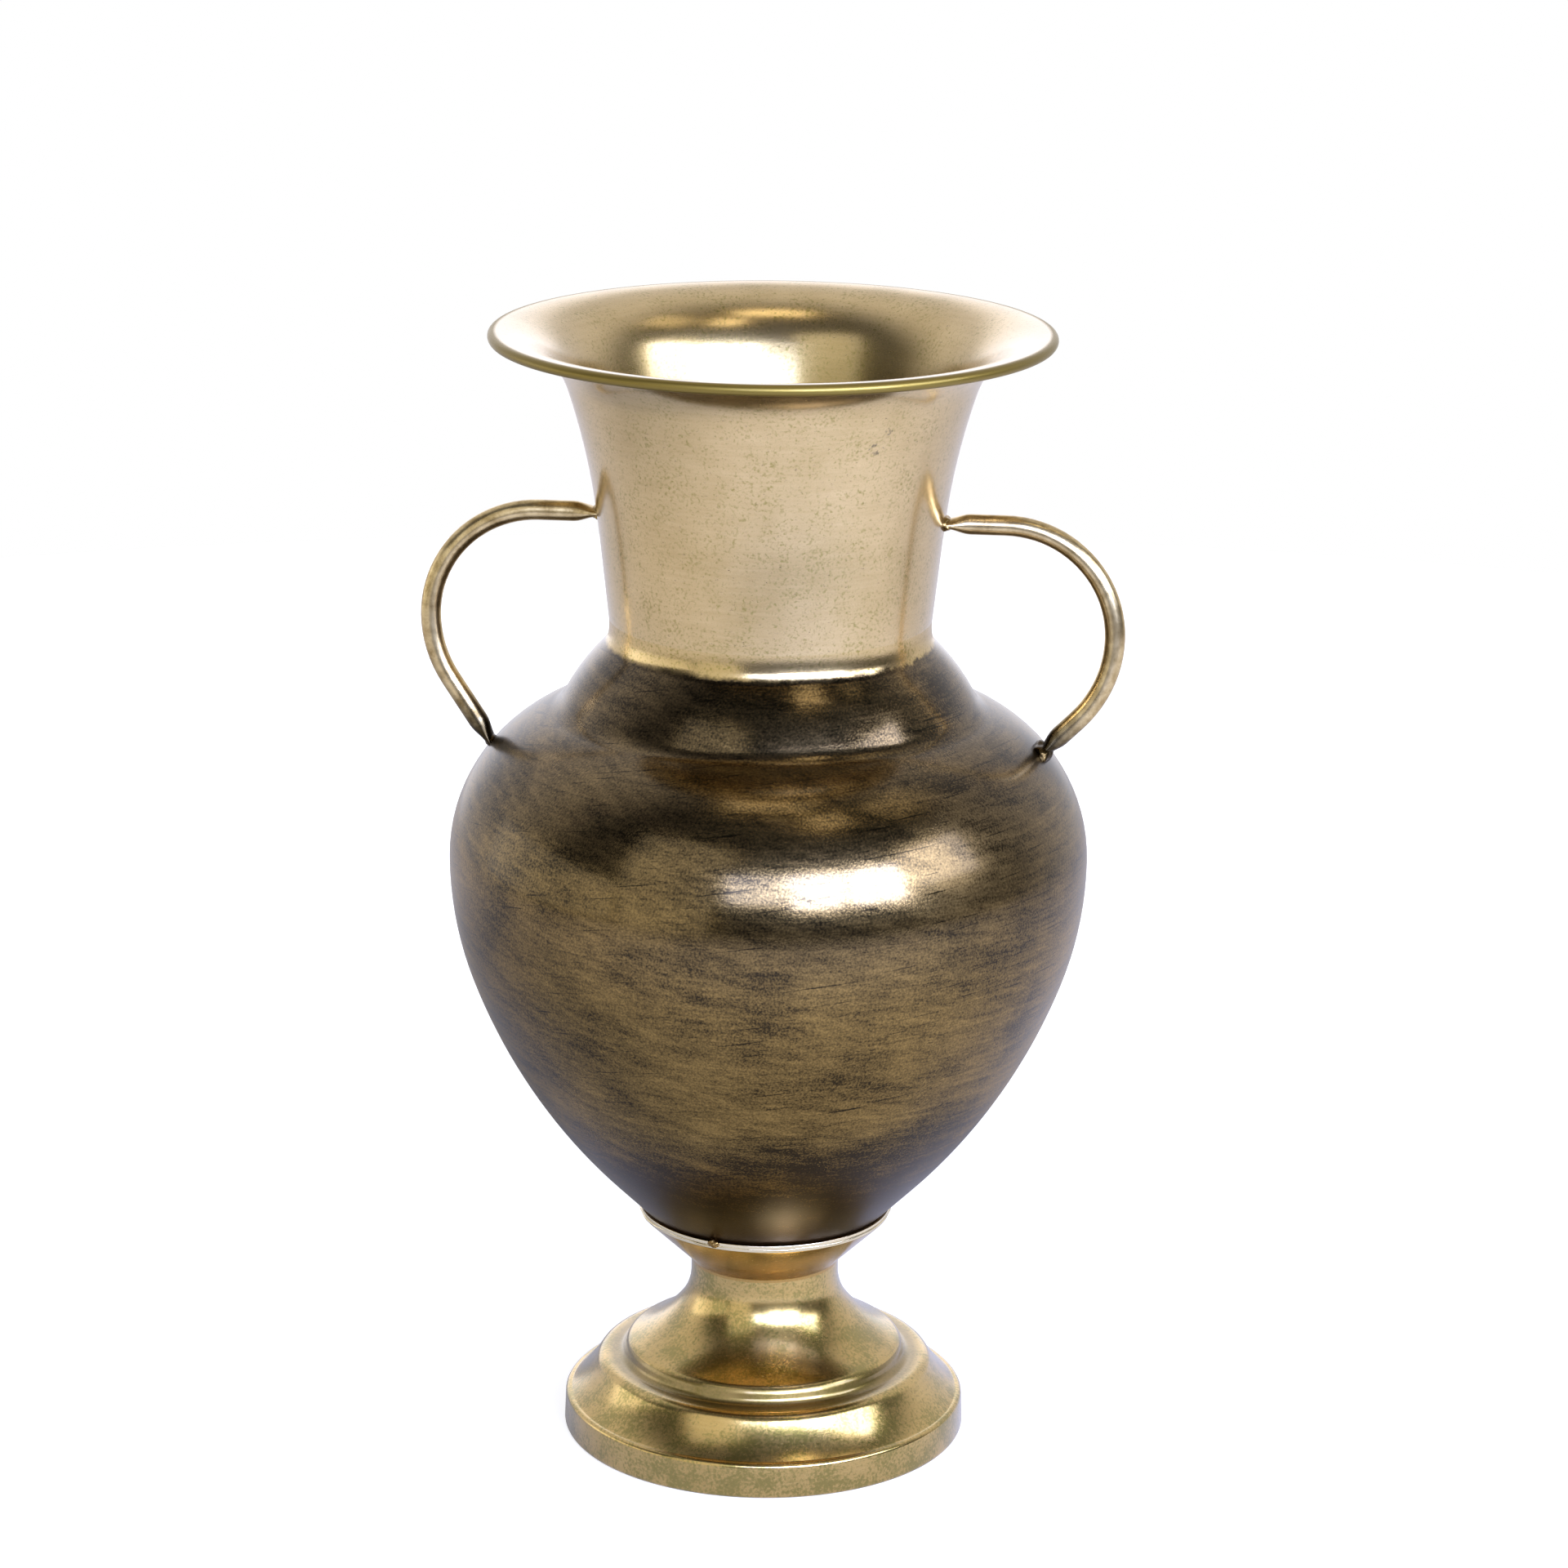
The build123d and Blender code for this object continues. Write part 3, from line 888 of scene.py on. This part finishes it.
height = add(tree, "SeparateXYZ", [in_mm], "Z")
sideways = height.node.outputs["X"]
ragged = add(tree, "MapRange", [sideways, *edge_sides, *edge_depths])
wander = add(tree, "TexNoise", {"Vector": in_mm, "Scale": 1 / edge_wander, "Detail": 5, "Roughness": 0.7})
level = add(tree, "Math", [wander, ragged, height], operation="MULTIPLY_ADD")
edge = add(tree, "Math", [ragged, 0.5, gold_edge], operation="MULTIPLY_ADD")
above = add(tree, "Math", [level, edge], operation="SUBTRACT")
gilt = add(tree, "MapRange", [above, -edge_softness, edge_softness])
gilded = add(tree, "Mix", {0: gilt, 6: patina_colour, 7: gold_colour}, 2, data_type="RGBA")
# Soot, and painted shade of the handles, darken the body round the lower joints.
away = distance_to(tree, in_mm, torch_marks)
near_joint = add(tree, "Math", [wander, soot_and_shade_wander, away], operation="MULTIPLY_ADD")
soot_and_shade = add(tree, "MapRange", [near_joint, *soot_and_shade_reach, 0.85, 0])
sooted_and_shaded = add(tree, "Mix", {0: soot_and_shade, 6: gilded, 7: colour("1c150a")}, 2, data_type="RGBA")
rough = add(tree, "Mix", {0: gilt, 2: patina_rough, 3: gold_rough})
relief = add(tree, "Bump", {"Height": patina_height, "Strength": 1, "Distance": patina_relief * MM})
coat = add(tree, "MapRange", [height, *coat_levels, 0, 0.32])
tree.links.new(sooted_and_shaded, shader.inputs["Base Color"])
tree.links.new(rough, shader.inputs["Roughness"])
tree.links.new(relief, shader.inputs["Normal"])
tree.links.new(coat, shader.inputs["Coat Weight"])
shader.inputs["Coat Roughness"].default_value = coat_roughness
dress([belly, shoulder], patina)

# %% [markdown]
# Drawn brass tube: the handles. It is a plain gold-brown metal, darkened near the lower joints, partly soot
# from the torch and partly painted shade where the tube meets the body. The darkening could be a second
# material, but it has no edge, so it fades with the distance to the joint.

# %% Handle tube
tube_cloud = 4
tube_soot_and_shade_reach = (9, 22)
tube_roughness = 0.27

drawn, tree, shader, in_mm = new_material("drawn brass tube")
tone = add(tree, "TexNoise", {"Vector": in_mm, "Scale": 1 / tube_cloud, "Detail": 5, "Roughness": 0.65})
worn = add(tree, "MapRange", [tone, 0.28, 0.62])
mixed = add(tree, "Mix", {0: worn, 6: colour("9e8554"), 7: colour("dcc490")}, 2, data_type="RGBA")
# Soot and painted shade: the tube darkens towards its lower joint.
away = distance_to(tree, in_mm, torch_marks)
near_joint = add(tree, "Math", [tone, soot_and_shade_wander, away], operation="MULTIPLY_ADD")
soot_and_shade = add(tree, "MapRange", [near_joint, *tube_soot_and_shade_reach, 0.94, 0])
sooted_and_shaded = add(tree, "Mix", {0: soot_and_shade, 6: mixed, 7: colour("1c150a")}, 2, data_type="RGBA")
tree.links.new(sooted_and_shaded, shader.inputs["Base Color"])
shader.inputs["Roughness"].default_value = tube_roughness
dress(handles, drawn)

# %% [markdown]
# Braze and solder. The braze at the shoulder is dark, oxidised and glassy, with small bright glints on
# its wrinkles. At the neck it was lacquered over with the gold. The tacks under the belly are browner,
# because solder needs less heat. The three froze in the same way and differ only in colour, so one loop
# makes them.

# %% Braze and solder
wrinkle = 1.2
wrinkle_relief = 0.2
glassy_roughness = 0.25
frozen_metals = (
    ("oxidised braze", "1c160c", "5a4828", lower_welds),
    ("gilded braze", "6e5830", "c4a66a", upper_welds),
    ("browned solder", "5e4726", "a5854e", [tacks]),
)
for name, dark, light, drops in frozen_metals:
    frozen, tree, shader, in_mm = new_material(name)
    tone = add(tree, "TexNoise", {"Vector": in_mm, "Scale": 1 / wrinkle, "Detail": 4})
    mixed = add(tree, "Mix", {0: tone, 6: colour(dark), 7: colour(light)}, 2, data_type="RGBA")
    relief = add(tree, "Bump", {"Height": tone, "Strength": 1, "Distance": wrinkle_relief * MM})
    tree.links.new(mixed, shader.inputs["Base Color"])
    tree.links.new(relief, shader.inputs["Normal"])
    shader.inputs["Roughness"].default_value = glassy_roughness
    dress(drops, frozen)

# %% [markdown]
# The floor is a disc of white paper. To the camera it glows, so that it melts into the white background and
# keeps only a soft shadow under the foot. To the metal it glows as a dimmer sheet, a painted pool of light
# that fades out towards the front right, where the real room is dark, with a painted shadow just left of
# the vase. The paper's colour fades the same way, a painted falloff. Lengths on the stage are in metres.

# %% Floor
floor_size = 1.2
floor_glow = (0.74, 1)
glow_reach = (0.2, 0.6)
paper_roughness = 0.9
paper_white = 0.4
paper_black = 0.03
front_right = (0.35, -0.94, 0)
falloff_reach = (0.3, 1.15)
painted_shadow_spot = (-0.22, 0.08, 0)
dim_reach = (0.15, 0.45)
dim_glow = (0.1, 0.42)


def stage_piece(name, bm):
    """An object from a bmesh in metres, for the stage round the vase."""
    mesh = bpy.data.meshes.new(name)
    bm.to_mesh(mesh)
    bm.free()
    piece = bpy.data.objects.new(name, mesh)
    bpy.context.scene.collection.objects.link(piece)
    return piece


bm = bmesh.new()
bmesh.ops.create_circle(bm, cap_ends=True, radius=floor_size, segments=96)
floor = stage_piece("floor", bm)
paper = bpy.data.materials.new("white paper")
paper.use_nodes = True
tree = paper.node_tree
shader = tree.nodes["Principled BSDF"]
shader.inputs["Roughness"].default_value = paper_roughness
shader.inputs["Specular IOR Level"].default_value = 0
place = add(tree, "TexCoord", [], "Object")
# Painted falloff: the paper's colour and its glow for reflections fade towards the front right.
ahead = add(tree, "VectorMath", [place, front_right], "Value", operation="DOT_PRODUCT")
painted_falloff = add(tree, "MapRange", [ahead, *falloff_reach, 1, 0], interpolation_type="SMOOTHSTEP")
pale = add(tree, "Math", [painted_falloff, paper_white, paper_black], operation="MULTIPLY_ADD")
# Painted shadow: the glow seen in reflections is dimmest just left of the vase.
aside = add(tree, "VectorMath", [place, painted_shadow_spot], "Value", operation="DISTANCE")
rise = add(tree, "MapRange", [aside, *dim_reach, *dim_glow], interpolation_type="SMOOTHSTEP")
pool = add(tree, "Math", [rise, painted_falloff], operation="MULTIPLY")
seen = add(tree, "LightPath", [], "Is Camera Ray")
mirrored = add(tree, "Math", [seen.node.outputs["Is Glossy Ray"], pool], operation="MULTIPLY")
away = add(tree, "VectorMath", [place], "Value", operation="LENGTH")
white = add(tree, "MapRange", [away, *glow_reach, *floor_glow])
glow = add(tree, "Math", [seen, white, mirrored], operation="MULTIPLY_ADD")
tint = add(tree, "Mix", {0: seen, 6: colour("f2ecf2"), 7: (1, 1, 1, 1)}, 2, data_type="RGBA")
tree.links.new(pale, shader.inputs["Base Color"])
tree.links.new(tint, shader.inputs["Emission Color"])
tree.links.new(glow, shader.inputs["Emission Strength"])
floor.data.materials.append(paper)
print("floor", floor_size, "m in radius")

# %% [markdown]
# The canopy is a dome of cloth round the stage, which the camera does not see. It is almost dark in
# front, as the photographer's side of a studio is, pale at the back, and brightest straight behind the
# vase, which draws the pale light along both edges of the metal. A photograph of a studio could stand in
# for it, but a glow by direction needs no file. Beyond it the world is plain white, for the background.

# %% Canopy and world
canopy_size = 3.2
straight_back = (-0.15, 0.75, 0.1)
room_reach = (-0.05 * canopy_size, 0.4 * canopy_size)
room_light = (0.11, 0.9)
far_wall_reach = (0.62 * canopy_size, 0.74 * canopy_size)
far_wall_light = 0.75

bm = bmesh.new()
bmesh.ops.create_uvsphere(bm, u_segments=64, v_segments=32, radius=canopy_size)
canopy = stage_piece("canopy", bm)
canopy.visible_camera = False
cloth = bpy.data.materials.new("dim studio cloth")
cloth.use_nodes = True
tree = cloth.node_tree
tree.nodes.clear()
place = add(tree, "TexCoord", [], "Object")
behind = add(tree, "VectorMath", [place, straight_back], "Value", operation="DOT_PRODUCT")
room = add(tree, "MapRange", [behind, *room_reach, *room_light], interpolation_type="SMOOTHSTEP")
far_wall = add(
    tree, "MapRange", [behind, *far_wall_reach, 0, far_wall_light], interpolation_type="SMOOTHSTEP",
)
light = add(tree, "Math", [room, far_wall], operation="ADD")
shine = add(tree, "Emission", {"Color": colour("f0f0fa"), "Strength": light})
surface = tree.nodes.new("ShaderNodeOutputMaterial")
tree.links.new(shine, surface.inputs["Surface"])
canopy.data.materials.append(cloth)

world = bpy.data.worlds.new("white room")
world.use_nodes = True
bpy.context.scene.world = world
world.node_tree.nodes["Background"].inputs["Color"].default_value = (1, 1, 1, 1)
world.node_tree.nodes["Background"].inputs["Strength"].default_value = 1
print("canopy", canopy_size, "m in radius")

# %% [markdown]
# Softboxes. Each is an area lamp that faces the vase from a bearing, counted from the camera towards the
# right, and an elevation. Brightness is set per area, so that a lamp's size changes its mirror image and
# not its glare. Three bluish panes make the window in front, and a fourth stands further round to the
# right. Two weak boxes on the left light the dark side. Three small warm lamps above leave the spots on
# the shoulder and in the mouth.

# %% Lamps
lamp_distance = 1.2
vase_middle = Vector((0, 0, 0.19))
# Name, then bearing, elevation, width and height in degrees, then brightness and tint
lamps = (
    ("window", 17, 20.5, 18, 22, 28, "bccaff"),
    ("window_next", 39, 20.5, 19, 22, 28, "bccaff"),
    ("window_left", -4, 22, 20, 18, 11, "bccaff"),
    ("window_high", 67, 25.5, 25, 22, 7.5, "d4dcff"),
    ("wall_left", -36, 20, 34, 58, 0.8, "ffffff"),
    ("wall_low", -85, 5, 60, 24, 0.9, "ffffff"),
    ("lamp_above", 0, 82, 20, 10, 2, "fff0d0"),
    ("lamp_front", 40, 65, 11, 10, 2.2, "fff0d0"),
    ("lamp_right", 88, 60, 18, 12, 0.9, "fff0d0"),
)


def softbox(name, bearing, elevation, width, height, brightness, tint):
    """An area lamp that spans some degrees each way, as seen from the vase."""
    data = bpy.data.lights.new(name, "AREA")
    data.shape = "RECTANGLE"
    data.size = 2 * lamp_distance * tan(radians(width) / 2)
    data.size_y = 2 * lamp_distance * tan(radians(height) / 2)
    data.energy = brightness * pi * data.size * data.size_y
    data.color = colour(tint)[:3]
    lamp = bpy.data.objects.new(name, data)
    bpy.context.scene.collection.objects.link(lamp)
    turn = camera_turn + radians(bearing)
    up = radians(elevation)
    place = Vector((sin(turn) * cos(up), -cos(turn) * cos(up), sin(up)))
    lamp.location = vase_middle + place * lamp_distance
    lamp.rotation_euler = place.to_track_quat("Z", "Y").to_euler()
    print(name, round(data.energy, 1), "W")


for box in lamps:
    softbox(*box)

# %% [markdown]
# Standard colour, so that a white written in the file is white in the picture.

# %% Finish
bpy.context.scene.view_settings.view_transform = "Standard"
